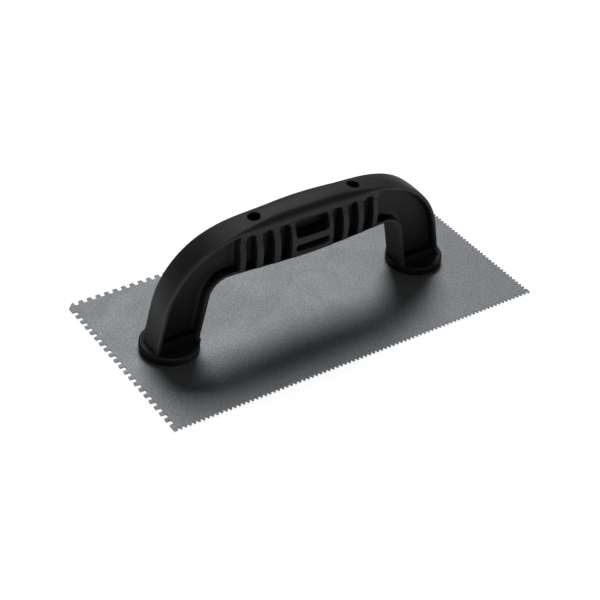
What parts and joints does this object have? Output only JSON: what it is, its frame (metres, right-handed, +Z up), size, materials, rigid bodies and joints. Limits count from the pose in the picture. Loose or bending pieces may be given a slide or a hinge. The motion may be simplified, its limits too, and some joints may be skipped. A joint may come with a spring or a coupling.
{
  "type": "notched trowel",
  "caption": "Notched trowel: thin rectangular steel blade with coarse teeth on two edges and fine teeth on the other two, under a black moulded bridge handle.",
  "frame": {"origin": "centre of the underside of the blade, which lies flat on the ground", "axes": "+X along the blade towards the fine-toothed short edge, +Y towards the coarse-toothed long edge, +Z up through the grip"},
  "size_m": [0.2096, 0.1048, 0.063],
  "materials": {
    "blade_steel": "satin, cold-rolled sheet",
    "handle_plastic": "matt, moulded",
    "screw_zinc": "zinc plated"
  },
  "bodies": {
    "root": {"blade": "blade_steel", "handle": "handle_plastic", "screw_left_outer": "screw_zinc", "screw_left_inner": "screw_zinc", "screw_right_inner": "screw_zinc", "screw_right_outer": "screw_zinc"}
  },
  "joints": []
}
